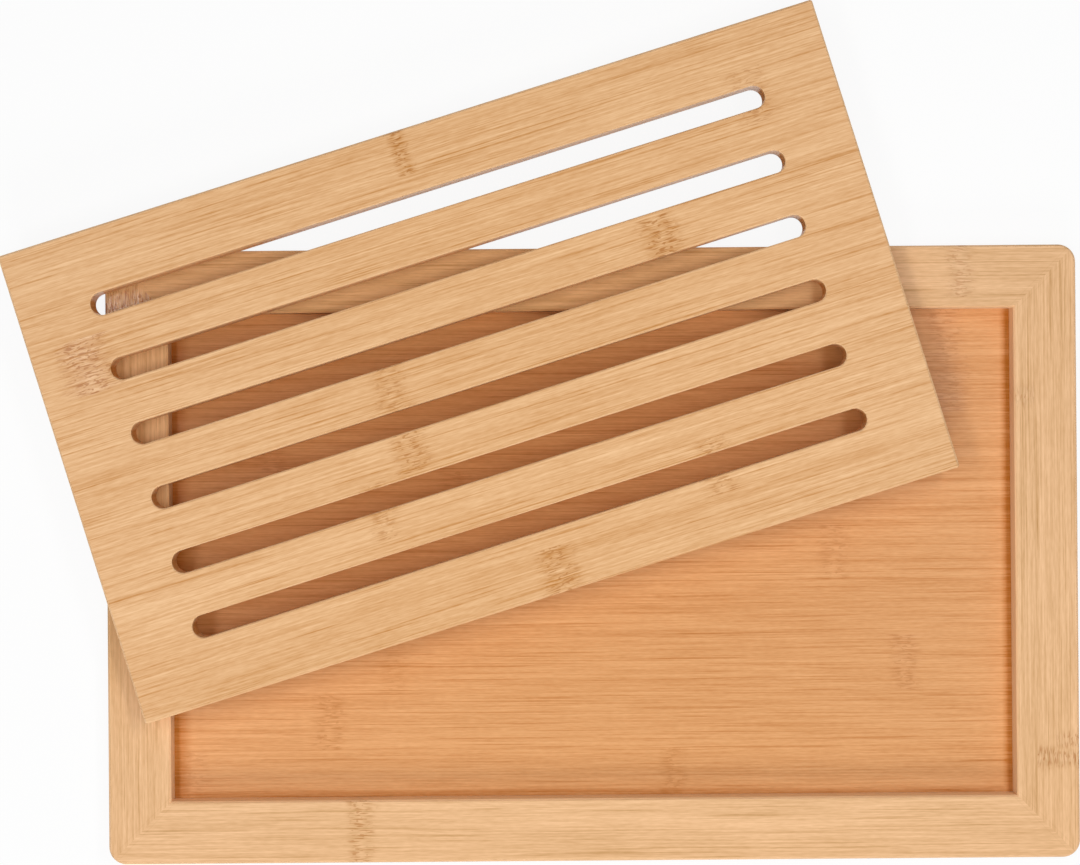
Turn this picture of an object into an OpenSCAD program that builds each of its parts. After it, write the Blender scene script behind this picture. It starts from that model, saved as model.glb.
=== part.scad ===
// Bread board: a slotted bamboo rack that lifts off a mitred crumb tray.
// The rack lies across the tray at an angle. It fits inside the frame when it is turned into line.
// Z = 0 is the surface that the tray stands on, and the origin is the middle of the tray.
// X runs along the slots of the rack, so the slots stay square to the axes.

/* [Tray frame] */
// Length of the tray, over its two short rails
tray_l = 420; // [340:1:520]
// Depth of the tray, over its two long rails
tray_d = 265; // [230:1:340]
// Width of every rail, seen from above
rail_w = 27; // [22:0.5:36]
// Height of the rails
rail_h = 15; // [12:0.5:24]
// Radius of the tray's upright corners
corner_r = 7.5; // [3:0.5:15]
// Chamfer that eases the long edges of the rails
rail_ease = 0.8; // [0.3:0.1:1.5]

/* [Crumb panel] */
// Thickness of the panel under the rails
panel_t = 4; // [3:0.5:6]
// Reach of the panel into the rebate below each rail
panel_lap = 4; // [2:0.5:8]
// Gap between the panel's edge and the rebate
panel_gap = 0.2; // [0.1:0.1:0.5]

/* [Mitre splines] */
// Thickness of the hidden spline in each mitre
spline_t = 3; // [2:0.5:4]
// Length of a spline along its mitre
spline_l = 16; // [10:0.5:18]
// Reach of a spline into each of its two rails
spline_reach = 8; // [5:0.5:9]
// Room left around a spline for glue
spline_gap = 0.5; // [0.2:0.1:1]

/* [Staves] */
// Width of the staves that the panel and the rack are glued up from, before they are planed to fit
stave_w = 24; // [18:0.5:28]

/* [Rack] */
// Thickness of the rack
rack_t = 15; // [10:0.5:22]
// Gap between the seated rack and each short rail
end_gap = 0.7; // [0.5:0.1:3]
// Gap between the seated rack and each long rail
side_gap = 0.8; // [0.3:0.1:3]
// Chamfer that eases the edges of the rack
rack_ease = 0.8; // [0.3:0.1:1.5]

/* [Slots] */
// Number of slots
slot_count = 6; // [3:1:6]
// Width of a slot, which is the diameter of its round ends
slot_w = 9.8; // [6:0.1:14]
// Width of the bar between two slots
bar_w = 19.1; // [12:0.1:22]
// Distance from the rack's short edge to the end of a slot
slot_inset = 31.5; // [20:0.1:60]
// Chamfer that eases the rims of the slots
slot_ease = 0.5; // [0.2:0.1:1]

/* [Rack as it lies] */
// Angle between the rack's long side and the tray's
rack_turn = 17.1; // [0:0.1:30]
// Place of the rack's middle along the tray
rack_along = -48.2; // [-70:0.1:70]
// Place of the rack's middle across the tray, towards the far rail
rack_across = 83.3; // [-90:0.1:90]

/* [Hidden] */
well_l = tray_l - 2 * rail_w;
well_d = tray_d - 2 * rail_w;
panel_l = well_l + 2 * (panel_lap - panel_gap);
panel_d = well_d + 2 * (panel_lap - panel_gap);
rack_l = well_l - 2 * end_gap;
rack_d = well_d - 2 * side_gap;
slot_l = rack_l - 2 * slot_inset;
// From the middle of a slot to the centre of its round end
slot_run = (slot_l - slot_w) / 2;
slot_pitch = slot_w + bar_w;
spline_z = (panel_t + rail_h) / 2;

// The panel is a whole number of staves deep, and the rack has the same glue lines
stave_count = round(panel_d / stave_w);
stave_pitch = panel_d / stave_count;
// Near and far edge of stave i in a board of depth d, which is cut to that depth through its two outer staves
function stave_from(d, i) = i == 1 ? -d / 2 : (i - 1 - stave_count / 2) * stave_pitch;
function stave_to(d, i) = i == stave_count ? d / 2 : stave_from(d, i + 1);

rail_colour = [0.91, 0.75, 0.58];
panel_colour = [0.86, 0.62, 0.42];
rack_colour = [0.88, 0.69, 0.49];
spline_colour = [0.80, 0.62, 0.43];

// How far a cut runs past the faces that it opens
past = 1;
$fn = 64;

// Places

module on_tray() {
    rotate(-rack_turn) children();
}

module on_rack() {
    on_tray() translate([rack_along, rack_across, rail_h]) rotate(rack_turn) children();
}

// Shapes that several pieces share

module chamfered_rectangle(w, d, ease) {
    polygon([
        [-w / 2 + ease, -d / 2], [w / 2 - ease, -d / 2], [w / 2, -d / 2 + ease], [w / 2, d / 2 - ease],
        [w / 2 - ease, d / 2], [-w / 2 + ease, d / 2], [-w / 2, d / 2 - ease], [-w / 2, -d / 2 + ease]
    ]);
}

// A board that stands on Z = 0 with all its edges eased
module eased_board(l, d, t, ease) {
    translate([0, 0, t / 2]) intersection() {
        linear_extrude(t, center = true) chamfered_rectangle(l, d, ease);
        rotate([90, 0, 0]) linear_extrude(d, center = true) chamfered_rectangle(l, t, ease);
        rotate([90, 0, 90]) linear_extrude(l, center = true) chamfered_rectangle(d, t, ease);
    }
}

// Frame of the tray

// Section of a rail: X from its outer face inwards, Y up
module rail_section() {
    polygon([
        [rail_ease, 0], [rail_w - panel_lap, 0], [rail_w - panel_lap, panel_t], [rail_w, panel_t],
        [rail_w, rail_h - rail_ease], [rail_w - rail_ease, rail_h], [rail_ease, rail_h],
        [0, rail_h - rail_ease], [0, rail_ease]
    ]);
}

// Round post with both its rims eased
module corner_post() {
    rotate_extrude() polygon([
        [0, 0], [corner_r - rail_ease, 0], [corner_r, rail_ease],
        [corner_r, rail_h - rail_ease], [corner_r - rail_ease, rail_h], [0, rail_h]
    ]);
}

// Outline that rounds the four corners of the frame, with the eased edge carried round them
module corner_envelope() {
    inner_l = tray_l - 2 * corner_r;
    inner_d = tray_d - 2 * corner_r;
    translate([-tray_l / 2, -inner_d / 2, 0]) cube([tray_l, inner_d, rail_h]);
    translate([-inner_l / 2, -tray_d / 2, 0]) cube([inner_l, tray_d, rail_h]);
    for (sx = [-1, 1], sy = [-1, 1])
        translate([sx * inner_l / 2, sy * inner_d / 2, 0]) corner_post();
}

// A spline, or the pocket for one with room around it, in each mitre
module splines(room = 0) {
    l = spline_l + 2 * room;
    w = 2 * (spline_reach + room);
    on_tray() for (sx = [-1, 1], sy = [-1, 1])
        translate([sx * (tray_l - rail_w) / 2, sy * (tray_d - rail_w) / 2, spline_z])
            rotate(sx * sy * 45) cube([l, w, spline_t], center = true);
}

// A mitred rail along X, with its outer face at Y = -depth / 2
module rail(length, depth) {
    reach = rail_w + past;
    intersection() {
        translate([-length / 2, -depth / 2, 0]) rotate([90, 0, 90]) linear_extrude(length) rail_section();
        translate([0, -depth / 2, -past]) linear_extrude(rail_h + 2 * past) polygon([
            [-length / 2 - past, -past], [length / 2 + past, -past],
            [length / 2 - reach, reach], [-length / 2 + reach, reach]
        ]);
    }
}

module placed_rail(length, depth, turn) {
    color(rail_colour) difference() {
        on_tray() intersection() {
            rotate(turn) rail(length, depth);
            corner_envelope();
        }
        splines(spline_gap);
    }
}

module near_rail() { placed_rail(tray_l, tray_d, 0); }
module far_rail() { placed_rail(tray_l, tray_d, 180); }
module right_rail() { placed_rail(tray_d, tray_l, 90); }
module left_rail() { placed_rail(tray_d, tray_l, -90); }

module mitre_splines() {
    color(spline_colour) splines();
}

// Crumb panel, from the near side to the far side

module panel_stave(i) {
    from = stave_from(panel_d, i);
    to = stave_to(panel_d, i);
    color(panel_colour) on_tray() translate([-panel_l / 2, from, 0]) cube([panel_l, to - from, panel_t]);
}

// Rack, from the near side to the far side

// Flare that eases the rim of a slot, opening upwards from Z = 0
module slot_rim() {
    low = slot_w / 2;
    rise = slot_ease + past;
    translate([-slot_run, 0, 0]) rotate([90, 0, 90]) linear_extrude(2 * slot_run)
        polygon([[-low, 0], [low, 0], [low + rise, rise], [-low - rise, rise]]);
    for (end = [-slot_run, slot_run])
        translate([end, 0, 0]) cylinder(h = rise, r1 = low, r2 = low + rise);
}

// A round-ended slot right through the rack, with both its rims eased
module slot() {
    translate([0, 0, -past]) linear_extrude(rack_t + 2 * past) {
        square([2 * slot_run, slot_w], center = true);
        for (end = [-slot_run, slot_run]) translate([end, 0]) circle(d = slot_w);
    }
    translate([0, 0, rack_t - slot_ease]) slot_rim();
    translate([0, 0, slot_ease]) mirror([0, 0, 1]) slot_rim();
}

module rack_board() {
    difference() {
        eased_board(rack_l, rack_d, rack_t, rack_ease);
        for (i = [1 : slot_count])
            translate([0, (i - (slot_count + 1) / 2) * slot_pitch, 0]) slot();
    }
}

module rack_stave(i) {
    from = stave_from(rack_d, i) - (i == 1 ? past : 0);
    to = stave_to(rack_d, i) + (i == stave_count ? past : 0);
    slice = [rack_l + 2 * past, to - from, rack_t + 2 * past];
    color(rack_colour) on_rack() intersection() {
        rack_board();
        translate([-rack_l / 2 - past, from, -past]) cube(slice);
    }
}

near_rail();
far_rail();
left_rail();
right_rail();
mitre_splines();
for (i = [1 : stave_count]) panel_stave(i);
for (i = [1 : stave_count]) rack_stave(i);
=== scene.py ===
"""Looks of the bread board: bamboo on every piece, a pale floor, soft light, the photograph's camera."""
import math

import bpy
from mathutils import Matrix, Vector


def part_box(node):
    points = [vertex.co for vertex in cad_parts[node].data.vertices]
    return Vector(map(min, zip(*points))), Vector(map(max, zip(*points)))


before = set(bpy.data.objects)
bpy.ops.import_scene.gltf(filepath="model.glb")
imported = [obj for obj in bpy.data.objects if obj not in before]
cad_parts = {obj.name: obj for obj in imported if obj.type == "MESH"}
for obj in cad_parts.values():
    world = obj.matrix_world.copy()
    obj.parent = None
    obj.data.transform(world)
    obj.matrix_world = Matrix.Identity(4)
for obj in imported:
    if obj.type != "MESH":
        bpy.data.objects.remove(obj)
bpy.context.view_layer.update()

MM = 0.001
WHITE = (1.0, 1.0, 1.0, 1.0)
# The tray lies turned clockwise from the rack, whose slots run along X
TRAY_TURN = 17.1

# Camera, in the row frame
PICTURE_WIDTH = 1080
FOCAL_PIXELS = 2543
SENSOR_WIDTH = 36.0
CLIP_START = 0.05
EYE = Vector((-6.3, 54.3, 1115.0)) * MM
LOOKS_AT = Vector((-5.7, 57.1, 15.0)) * MM
PICTURE_ROLL = 17.56

# Light: a weak dome, and four soft boxes that face down and lie in line with the tray.
# They hang past both ends of the board, above it and in front of it.
DOME_LEVEL = 0.15
BOX_HEIGHT = 1.10
# Name, place of the middle, width, length, power, and whether the board's sheen mirrors it
SOFT_BOXES = [
    ("left_box", (-0.450, 0.050), 0.14, 0.90, 4.25, True),
    ("right_box", (0.440, 0.100), 0.14, 0.90, 4.60, True),
    ("top_box", (0.0, -0.100), 0.35, 0.40, 2.15, False),
    ("near_box", (-0.470, -1.530), 0.80, 1.00, 19.0, True),
]

# Floor
FLOOR_SIZE = 16.0
FLOOR_DROP = 0.2 * MM
FLOOR_COLOUR = (0.86, 0.86, 0.86, 1.0)
# Share of plain white in what the camera sees of the floor. The rest of it holds the shadow.
FLOOR_WHITE = 0.9

# Bamboo, as the pale and the dark end of each finish in linear colour
FINISHES = {
    "rack": {"pale": (0.895, 0.571, 0.306, 1.0), "dark": (0.498, 0.192, 0.025, 1.0), "contrast": 1.05},
    "rail": {"pale": (0.917, 0.569, 0.311, 1.0), "dark": (0.485, 0.250, 0.078, 1.0), "contrast": 1.05},
    "panel": {"pale": (0.832, 0.438, 0.190, 1.0), "dark": (0.436, 0.138, 0.014, 1.0), "contrast": 0.85},
    "spline": {"pale": (0.800, 0.480, 0.240, 1.0), "dark": (0.450, 0.220, 0.090, 1.0), "contrast": 1.00},
}
# Share of the pale end in plain bamboo
MEAN_TONE = 0.62
# Colour of the dashes in the node bands
MARK_COLOUR = (0.400, 0.130, 0.010, 1.0)
# Painted light on the rails' inner walls: a paler colour fitted to them in the photograph, and its share
# there
WALL_LIGHT_COLOUR = (0.930, 0.720, 0.480, 1.0)
WALL_LIGHT_SHARE = 0.75
# Painted shade beneath the rack at rest: tints fitted to the rails and the panel there in the photograph,
# where they are darker than these lamps make them for a cause that isn't known, and the blur of their
# edge in mm
RACK_SHADE_TINTS = {"rail": (0.82, 0.78, 0.67, 1.0), "panel": (1.0, 0.90, 0.74, 1.0)}
RACK_SHADE_BLUR = 45.0

# Glued strips of a piece: steps of the seeds, spread of the tones, and how many mm apart along
# the fibres two strips whose seeds differ by 1 are cut from the figure
PIECE_SEED_STEP = 13.7
STRIP_SEED_STEP = 7.3
STRIP_TONE_SPREAD = 0.06
FIGURE_STEP = 31.0
# Largest difference of two strip numbers that count as the same
SAME_STRIP = 0.1

# Layers of fibres: length and thickness in mm, detail, and a drift that keeps the layers apart
FIBRES = {
    "cloud": (140.0, 9.0, 1.0, 3.1),
    "streak": (200.0, 1.5, 2.0, 17.0),
    "line": (45.0, 0.75, 1.0, 29.0),
    "short": (12.0, 0.7, 0.0, 41.0),
    "vessel": (60.0, 0.7, 0.0, 67.0),
    "pore": (3.5, 0.45, 0.0, 91.0),
    "dash": (5.0, 0.6, 0.0, 113.0),
    "fleck": (2.0, 0.9, 0.0, 137.0),
}
NOISE_ROUGHNESS = 0.55
# Levels of a layer's noise between which its marks come in
VESSEL_STEP = (0.12, 0.26)
DARK_DASH_STEP = (0.05, 0.20)
PALE_DASH_STEP = (-0.05, -0.20)
FLECK_STEP = (0.14, 0.24)

# Node bands: grain of their ragged edge in mm, and its depth and the fades of the band and of its
# ridge in half lengths of the band
RAGGED_GRAIN = 2.5
RAGGED_DEPTH = 1.1
BAND_FADE = (0.3, 1.3)
RIDGE_FADE = (0.05, 0.4)
# Waves of the fibres in a band: length, thickness and depth in mm
WAVE_LENGTH = 7.0
WAVE_THICKNESS = 3.0
WAVE_DEPTH = 1.1

# Distances in mm over which a glue line and the inner edge fade out, and the width of the full painted
# shade at the foot of the rails
GLUE_FADE = (0.05, 0.45)
INNER_EDGE_FADE = (1.0, 3.5)
FULL_FOOT_SHADE = 1.6
# Parts of the normal along and across the fibres at which end grain and an upright side come in
END_GRAIN_STEP = (0.75, 0.95)
SIDE_STEP = (0.8, 0.95)
# Part of an eased edge's normal along Z, and the difference from it over which the painted highlight fades
# out
EASED_RISE = 0.7
EDGE_HIGHLIGHT_FADE = (0.08, 0.2)

# How much each layer of fibres, and then each other thing, makes the wood paler or darker
GRAIN_TONES = {"streak": 0.50, "line": 0.50, "short": 0.30, "pore": 0.30, "vessel": -0.26}
CLOUD_TONE = 0.26
PALE_DASH_TONE = 0.13
BAND_TONE = -0.17
RIDGE_TONE = 0.08
GLUE_TONE = -0.08
END_GRAIN_TONE = -0.40
EDGE_HIGHLIGHT_TONE = 0.24
FOOT_SHADE_TONE = -0.34
# Shares of the mark colour in dashes and flecks
DARK_DASH_SHARE = 0.60
FLECK_SHARE = 0.52

# Sheen and relief
ROUGHNESS = 0.40
ROUGHNESS_OF_FIBRES = -0.12
ROUGHNESS_OF_END_GRAIN = 0.45
SPECULAR_LEVEL = 0.2
VESSEL_RELIEF = -0.5
RELIEF_STRENGTH = 0.35
RELIEF_DEPTH = 0.05 * MM

# The edges of the rack that lie above the tray
near_stave_low, near_stave_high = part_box("rack_stave_1")
RACK_NEAR_EDGE = near_stave_low[1]
RACK_RIGHT_EDGE = near_stave_high[0]


class Tree:
    """Short way to add nodes to a material and wire them up."""

    def __init__(self, tree):
        self.tree = tree
        tree.nodes.clear()

    def add(self, kind, inputs, **settings):
        node = self.tree.nodes.new(kind)
        for key, value in settings.items():
            setattr(node, key, value)
        for key, value in inputs.items():
            if isinstance(value, bpy.types.NodeSocket):
                self.tree.links.new(value, node.inputs[key])
            else:
                node.inputs[key].default_value = value
        return node

    def math(self, operation, *values):
        return self.add("ShaderNodeMath", dict(enumerate(values)), operation=operation).outputs[0]

    def total(self, *values):
        result = values[0]
        for value in values[1:]:
            result = self.math("ADD", result, value)
        return result

    def distance(self, value, place):
        return self.math("ABSOLUTE", self.math("SUBTRACT", value, place))

    def rescale(self, value, low, high, to_low=0.0, to_high=1.0):
        """Smooth step of value from low..high to to_low..to_high."""
        inputs = {"Value": value, "From Min": low, "From Max": high, "To Min": to_low, "To Max": to_high}
        return self.add("ShaderNodeMapRange", inputs, interpolation_type="SMOOTHSTEP").outputs["Result"]

    def mix(self, share, first, second, blend="MIX"):
        """Colour between two colours. The node's sockets share their names, so its colours go by number."""
        inputs = {0: share, 6: first, 7: second}
        return self.add("ShaderNodeMix", inputs, data_type="RGBA", blend_type=blend).outputs[2]

    def split(self, vector):
        return self.add("ShaderNodeSeparateXYZ", {"Vector": vector}).outputs

    def noise(self, along, across, height, detail=1.0):
        """Noise from -0.5 to 0.5 at a place that is given in units of its own grain."""
        place = self.add("ShaderNodeCombineXYZ", {"X": along, "Y": across, "Z": height}).outputs[0]
        inputs = {"Vector": place, "Scale": 1.0, "Detail": detail, "Roughness": NOISE_ROUGHNESS}
        grain = self.add("ShaderNodeTexNoise", inputs, noise_dimensions="3D").outputs[0]
        return self.math("SUBTRACT", grain, 0.5)


def turned_box(node, turn):
    """Lowest and highest corner of a node in mm, seen after a turn about Z in degrees."""
    matrix = Matrix.Rotation(math.radians(turn), 3, "Z")
    points = [matrix @ v.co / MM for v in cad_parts[node].data.vertices]
    lowest = Vector([min(p[i] for p in points) for i in range(3)])
    highest = Vector([max(p[i] for p in points) for i in range(3)])
    return lowest, highest


def bamboo(node, turn, finish, seed, tone=0.0, knots=(), lines=(), glued=(False, False), feet=(),
           mitred=False, rim_highlight=0.0, painted_side_light=0.0, painted_rack_shade=False):
    """Bamboo for one CAD node, whose fibres lie along X after that turn about Z.

    Along the fibres a place is measured in mm from the piece's middle, and across them from its low edge.
    tone: how much paler the whole piece is
    knots: (place along, half length of the band, strength, strip that it is in or None)
    lines: places across the piece where its strips are glued together
    glued: whether its low and its high edge are glued to a neighbour
    feet: axis, direction and place of the rails' inner faces that stand on the piece, with the reach and
    strength of the painted shade at their foot
    mitred: whether its ends are cut at 45 degrees, to meet a neighbour there
    rim_highlight, painted_side_light: how much paler the high edge of the top and the upright sides are, as
    painted highlight and painted light
    painted_rack_shade: whether the rack lies over part of the piece, which is given painted shade there
    """
    lowest, highest = turned_box(node, turn)
    length = highest.x - lowest.x
    width = highest.y - lowest.y
    material = bpy.data.materials.new(f"bamboo_{node}")
    material.use_nodes = True
    t = Tree(material.node_tree)

    coordinates = t.add("ShaderNodeTexCoord", {})
    to_piece = t.add("ShaderNodeMapping", {
        "Vector": coordinates.outputs["Object"],
        "Location": (-(lowest.x + highest.x) / 2, -lowest.y, -lowest.z),
        "Rotation": (0, 0, math.radians(turn)),
        "Scale": (1 / MM, 1 / MM, 1 / MM),
    })
    x, y, z = t.split(to_piece.outputs[0])

    # Which glued strip of the piece a point is in, with a tone and a figure of its own
    strip = t.total(0.0, *[t.math("GREATER_THAN", y, line) for line in lines])
    strip_seed = t.math("MULTIPLY_ADD", strip, STRIP_SEED_STEP, seed * PIECE_SEED_STEP)
    strip_tone = t.add("ShaderNodeTexWhiteNoise", {"W": strip_seed}, noise_dimensions="1D").outputs["Value"]
    strip_tone = t.math("MULTIPLY_ADD", strip_tone, STRIP_TONE_SPREAD, tone - STRIP_TONE_SPREAD / 2)
    figure_x = t.math("ADD", x, t.math("MULTIPLY", strip_seed, FIGURE_STEP))

    # Bands of the culm's nodes, where the fibres wave and break up into dashes beside a pale ridge
    ragged = t.noise(0.0, t.math("DIVIDE", y, RAGGED_GRAIN), strip_seed)
    band = 0.0
    ridge = 0.0
    for at, half, strength, in_strip in knots:
        off = t.distance(t.math("MULTIPLY_ADD", ragged, RAGGED_DEPTH * half, x), at)
        if in_strip is not None:
            strength = t.math("MULTIPLY", t.math("COMPARE", strip, in_strip, SAME_STRIP), strength)
        band_here = t.rescale(off, BAND_FADE[0] * half, BAND_FADE[1] * half, strength, 0.0)
        band = t.math("MAXIMUM", band_here, band)
        ridge_here = t.rescale(off, RIDGE_FADE[0] * half, RIDGE_FADE[1] * half, strength, 0.0)
        ridge = t.math("MAXIMUM", ridge_here, ridge)
    wave = t.noise(t.math("DIVIDE", figure_x, WAVE_LENGTH), t.math("DIVIDE", y, WAVE_THICKNESS),
                   t.math("DIVIDE", z, WAVE_THICKNESS))
    waved_y = t.math("ADD", y, t.math("MULTIPLY", t.math("MULTIPLY", wave, band), WAVE_DEPTH))

    layers = {}
    for name, (long, thick, detail, drift) in FIBRES.items():
        along = t.math("DIVIDE", figure_x, long)
        across = t.math("MULTIPLY_ADD", waved_y, 1 / thick, drift)
        layers[name] = t.noise(along, across, t.math("DIVIDE", z, thick), detail)
    layers["vessel"] = t.rescale(layers["vessel"], *VESSEL_STEP)
    dark_dash = t.rescale(layers["dash"], *DARK_DASH_STEP)
    pale_dash = t.rescale(layers["dash"], *PALE_DASH_STEP)
    fleck = t.rescale(layers["fleck"], *FLECK_STEP)

    # Glue lines between strips, between staves and at the mitres
    seam_places = [edge for edge, is_glued in zip((0.0, width), glued) if is_glued]
    seams = [t.distance(y, seam_place) for seam_place in (*seam_places, *lines)]
    if mitred:
        to_end = t.math("SUBTRACT", length / 2, t.math("ABSOLUTE", x))
        seams.append(t.distance(to_end, y))
    glue = 0.0
    for seam in seams:
        glue = t.math("MAXIMUM", t.rescale(seam, *GLUE_FADE, 1.0, 0.0), glue)

    # Painted shade: a darker line along the foot of the rails, where they stand on the panel
    foot_shade = 0.0
    for axis, direction, at, reach, strength in feet:
        away = t.math("MULTIPLY", t.math("SUBTRACT", x if axis == "x" else y, at), direction)
        foot_shade = t.math("MAXIMUM", t.rescale(away, FULL_FOOT_SHADE, reach, strength, 0.0), foot_shade)

    # The ends of the fibres drink more of the finish and come out darker, and the eased edges get a painted
    # highlight
    turned_normal = t.add("ShaderNodeVectorRotate", {
        "Vector": coordinates.outputs["Normal"], "Angle": math.radians(turn),
    }, rotation_type="Z_AXIS").outputs[0]
    facing_x, facing_y, facing_z = [t.math("ABSOLUTE", part) for part in t.split(turned_normal)]
    end_grain = t.rescale(facing_x, *END_GRAIN_STEP)
    eased_edge_highlight = t.rescale(t.distance(facing_z, EASED_RISE), *EDGE_HIGHLIGHT_FADE, 1.0, 0.0)
    # Painted light: the upright sides are made paler, as if lit from the side
    side = t.rescale(facing_y, *SIDE_STEP)
    # Near the inner edge the top gets a painted highlight, and the inner wall painted light
    inner_edge = t.rescale(t.math("SUBTRACT", width, y), *INNER_EDGE_FADE, 1.0, 0.0)

    grain = t.total(*[t.math("MULTIPLY", layers[name], weight) for name, weight in GRAIN_TONES.items()])
    depth = t.total(
        t.math("MULTIPLY", layers["cloud"], CLOUD_TONE),
        t.math("MULTIPLY", grain, FINISHES[finish]["contrast"]),
        t.math("MULTIPLY", t.math("MULTIPLY", pale_dash, band), PALE_DASH_TONE),
        t.math("MULTIPLY", band, BAND_TONE),
        t.math("MULTIPLY", ridge, RIDGE_TONE),
        t.math("MULTIPLY", glue, GLUE_TONE),
        t.math("MULTIPLY", end_grain, END_GRAIN_TONE),
        t.math("MULTIPLY", eased_edge_highlight, EDGE_HIGHLIGHT_TONE),
        t.math("MULTIPLY", side, painted_side_light),
        t.math("MULTIPLY", inner_edge, rim_highlight),
        t.math("MULTIPLY", foot_shade, FOOT_SHADE_TONE),
        strip_tone,
    )
    level = t.math("ADD", depth, MEAN_TONE)
    colour = t.mix(level, FINISHES[finish]["dark"], FINISHES[finish]["pale"])
    dark_marks = t.math("MAXIMUM", t.math("MULTIPLY", dark_dash, DARK_DASH_SHARE),
                        t.math("MULTIPLY", fleck, FLECK_SHARE))
    colour = t.mix(t.math("MULTIPLY", dark_marks, band), colour, MARK_COLOUR)
    # Painted light: the rails' inner walls are made paler, as if lit from the side
    if finish == "rail":
        lit_inner_wall = t.math("MULTIPLY", side, inner_edge)
        colour = t.mix(t.math("MULTIPLY", lit_inner_wall, WALL_LIGHT_SHARE), colour, WALL_LIGHT_COLOUR)

    # Painted shade: what lies beneath the rack at rest is darker, and stays so when the rack is lifted
    if painted_rack_shade:
        row_x, row_y, _ = t.split(coordinates.outputs["Object"])
        past_near_edge = t.rescale(row_y, RACK_NEAR_EDGE, RACK_NEAR_EDGE + RACK_SHADE_BLUR * MM)
        past_right_edge = t.rescale(row_x, RACK_RIGHT_EDGE, RACK_RIGHT_EDGE - RACK_SHADE_BLUR * MM)
        rack_shadow_mask = t.math("MULTIPLY", past_near_edge, past_right_edge)
        colour = t.mix(rack_shadow_mask, colour, RACK_SHADE_TINTS[finish], "MULTIPLY")

    figure = t.total(layers["streak"], layers["line"], band)
    roughness = t.math("MULTIPLY_ADD", figure, ROUGHNESS_OF_FIBRES, ROUGHNESS)
    roughness = t.math("MULTIPLY_ADD", end_grain, ROUGHNESS_OF_END_GRAIN, roughness)
    relief = t.total(layers["streak"], layers["line"], layers["short"], layers["pore"],
                     t.math("MULTIPLY", layers["vessel"], VESSEL_RELIEF))
    bump = t.add("ShaderNodeBump", {
        "Strength": RELIEF_STRENGTH, "Distance": RELIEF_DEPTH, "Height": relief,
    })
    shader = t.add("ShaderNodeBsdfPrincipled", {
        "Base Color": colour, "Roughness": roughness, "Normal": bump.outputs[0],
        "Specular IOR Level": SPECULAR_LEVEL,
    })
    t.add("ShaderNodeOutputMaterial", {"Surface": shader.outputs[0]})
    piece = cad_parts[node]
    piece.data.materials.clear()
    piece.data.materials.append(material)


# Knots of the rack's staves, from the near one to the far one, in mm from the rack's middle
RACK_KNOTS = [
    [(6, 9, 1.0, None)],
    [(83, 8, 0.8, None)],
    [(-59, 7, 0.7, None)],
    [(-39, 8, 1.0, None)],
    [(-39, 8, 0.8, None)],
    [(91, 9, 1.2, None)],
    [(-160, 12, 1.4, None)],
    [(146, 9, 0.7, None)],
    [(-5, 4, 1.3, None)],
]
# Knots of the panel's staves in the same order, in mm from the tray's middle
PANEL_KNOTS = [
    [(35, 6, 0.5, None), (-174, 6, 0.4, None)],
    [(-115, 7, 0.6, None)],
    [(136, 7, 0.6, None), (-87, 6, 0.3, None)],
    [],
    [(105, 7, 0.5, None)],
    [(-60, 7, 0.5, None)],
    [(-140, 7, 0.5, None)],
    [(157, 9, 0.6, None)],
    [(155, 8, 0.6, None)],
]
STAVES = len(RACK_KNOTS)
RACK_TONE = 0.02
# Painted shade: the rack's near stave is made darker against the light from the front
NEAR_STAVE_TONE = -0.07
PANEL_SEED_OFFSET = 20
# Half the length of the tray's well, and the reach of the panel under a rail
WELL_HALF = 183.0
PANEL_LAP = 3.8
# Painted shade at the foot of the left, the right and the near rail: its reach from the rail in mm, and its
# strength
LEFT_FOOT_SHADE = (9.0, 1.5)
RIGHT_FOOT_SHADE = (5.0, 1.5)
NEAR_FOOT_SHADE = (3.6, 0.8)
for i, (rack_knots, panel_knots) in enumerate(zip(RACK_KNOTS, PANEL_KNOTS), start=1):
    glued = (i > 1, i < STAVES)
    bamboo(f"rack_stave_{i}", 0.0, "rack", seed=i, tone=NEAR_STAVE_TONE if i == 1 else RACK_TONE,
           knots=rack_knots, glued=glued, painted_side_light=0.3)
    feet = [("x", 1, -WELL_HALF, *LEFT_FOOT_SHADE), ("x", -1, WELL_HALF, *RIGHT_FOOT_SHADE)]
    if i == 1:
        feet.append(("y", 1, PANEL_LAP, *NEAR_FOOT_SHADE))
    bamboo(f"panel_stave_{i}", TRAY_TURN, "panel", seed=PANEL_SEED_OFFSET + i, knots=panel_knots,
           glued=glued, feet=feet, painted_rack_shade=True)

# Rails, with the turn that brings their fibres along X and their outer edge to the low side
# The near rail's tone is painted light and the far rail's tone painted shade, as from lamps in front
bamboo("near_rail", TRAY_TURN, "rail", seed=41, tone=0.07, lines=(12.0,), mitred=True, painted_side_light=0.3,
       knots=[(-101, 6, 0.9, None)])
bamboo("far_rail", TRAY_TURN - 180, "rail", seed=42, tone=-0.08, lines=(22.5,), mitred=True, painted_side_light=0.5,
       painted_rack_shade=True, knots=[(-160, 6, 0.8, 0)])
bamboo("right_rail", TRAY_TURN - 90, "rail", seed=43, lines=(9.9, 18.2), mitred=True, painted_side_light=0.6,
       rim_highlight=0.16, knots=[(67, 5, 0.8, 2), (-82, 4, 0.9, 0), (-90, 4, 1.2, 0), (-89, 5, 1.2, 1)])
bamboo("left_rail", TRAY_TURN + 90, "rail", seed=44, lines=(15.9, 19.5), mitred=True, painted_side_light=0.5,
       rim_highlight=0.16, painted_rack_shade=True, knots=[(-107, 10, 2.2, None)])
bamboo("mitre_splines", TRAY_TURN, "spline", seed=45)


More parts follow.
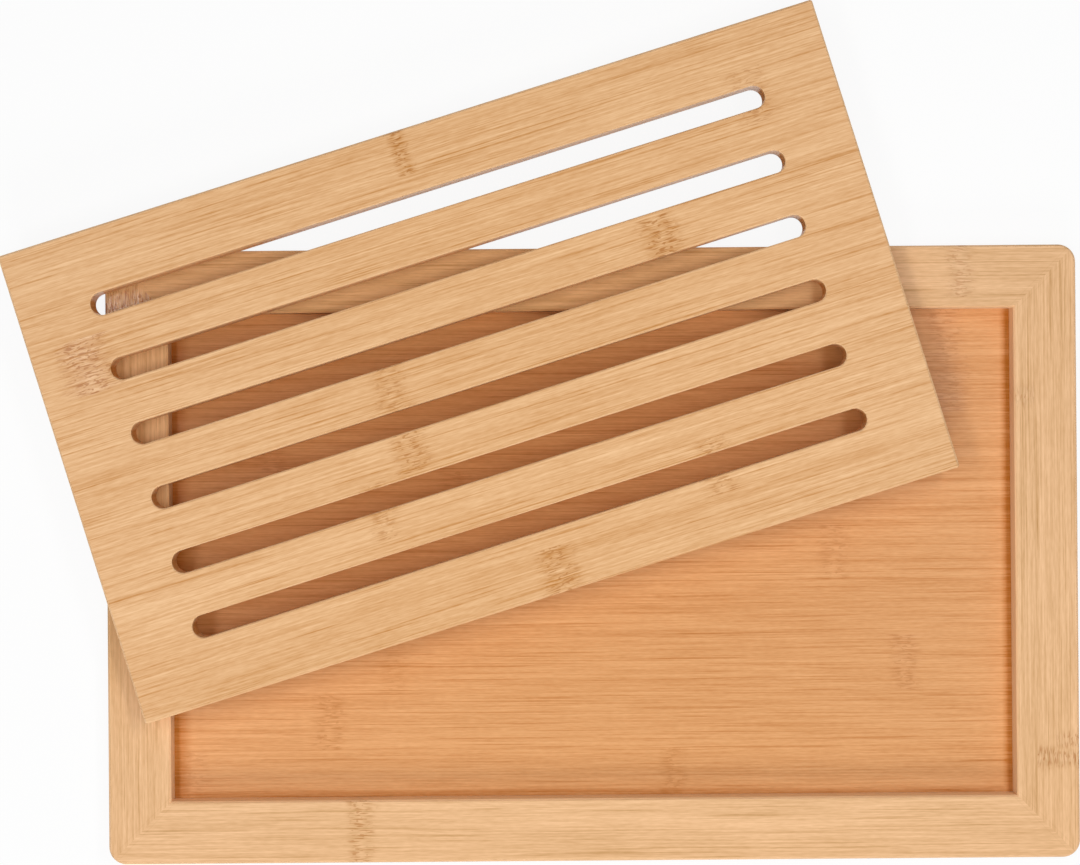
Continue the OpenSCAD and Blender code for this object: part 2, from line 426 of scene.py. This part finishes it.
def camera():
    data = bpy.data.cameras.new("camera")
    data.sensor_fit = "HORIZONTAL"
    data.sensor_width = SENSOR_WIDTH
    data.lens = SENSOR_WIDTH * FOCAL_PIXELS / PICTURE_WIDTH
    data.clip_start = CLIP_START
    roll = math.radians(PICTURE_ROLL)
    picture_up = Vector((math.sin(roll), math.cos(roll), 0))
    back = (EYE - LOOKS_AT).normalized()
    right = picture_up.cross(back).normalized()
    axes = Matrix((right, back.cross(right), back)).transposed()
    obj = bpy.data.objects.new("camera", data)
    obj.matrix_world = Matrix.Translation(EYE) @ axes.to_4x4()
    bpy.context.scene.collection.objects.link(obj)
    bpy.context.scene.camera = obj


def soft_box(name, middle, width, length, power, mirrored):
    data = bpy.data.lights.new(name, "AREA")
    data.shape = "RECTANGLE"
    data.size = width
    data.size_y = length
    data.energy = power
    obj = bpy.data.objects.new(name, data)
    obj.location = (*middle, BOX_HEIGHT)
    obj.rotation_euler.z = -math.radians(TRAY_TURN)
    obj.visible_camera = False
    obj.visible_glossy = mirrored
    bpy.context.scene.collection.objects.link(obj)


def seen_white(t):
    """1 for the rays that show the background, from the camera, a reflection or through glass."""
    path = t.add("ShaderNodeLightPath", {}).outputs
    bent = t.math("MAXIMUM", path["Is Glossy Ray"], path["Is Transmission Ray"])
    return t.math("MAXIMUM", path["Is Camera Ray"], bent)


def dome():
    world = bpy.data.worlds.new("dome")
    world.use_nodes = True
    t = Tree(world.node_tree)
    level = t.math("MULTIPLY_ADD", seen_white(t), 1.0 - DOME_LEVEL, DOME_LEVEL)
    light = t.add("ShaderNodeBackground", {"Color": WHITE, "Strength": level})
    t.add("ShaderNodeOutputWorld", {"Surface": light.outputs[0]})
    bpy.context.scene.world = world


def floor():
    half = FLOOR_SIZE / 2
    mesh = bpy.data.meshes.new("floor")
    corners = [(x * half, y * half, -FLOOR_DROP) for x, y in ((-1, -1), (1, -1), (1, 1), (-1, 1))]
    mesh.from_pydata(corners, [], [(0, 1, 2, 3)])
    obj = bpy.data.objects.new("floor", mesh)
    bpy.context.scene.collection.objects.link(obj)
    material = bpy.data.materials.new("pale_floor")
    material.use_nodes = True
    t = Tree(material.node_tree)
    matt = t.add("ShaderNodeBsdfDiffuse", {"Color": FLOOR_COLOUR})
    white = t.add("ShaderNodeEmission", {"Color": WHITE, "Strength": 1.0})
    share = t.math("MULTIPLY", seen_white(t), FLOOR_WHITE)
    both = t.add("ShaderNodeMixShader", {0: share, 1: matt.outputs[0], 2: white.outputs[0]})
    t.add("ShaderNodeOutputMaterial", {"Surface": both.outputs[0]})
    mesh.materials.append(material)


camera()
for soft_box_row in SOFT_BOXES:
    soft_box(*soft_box_row)
dome()
floor()
bpy.context.scene.view_settings.view_transform = "Standard"
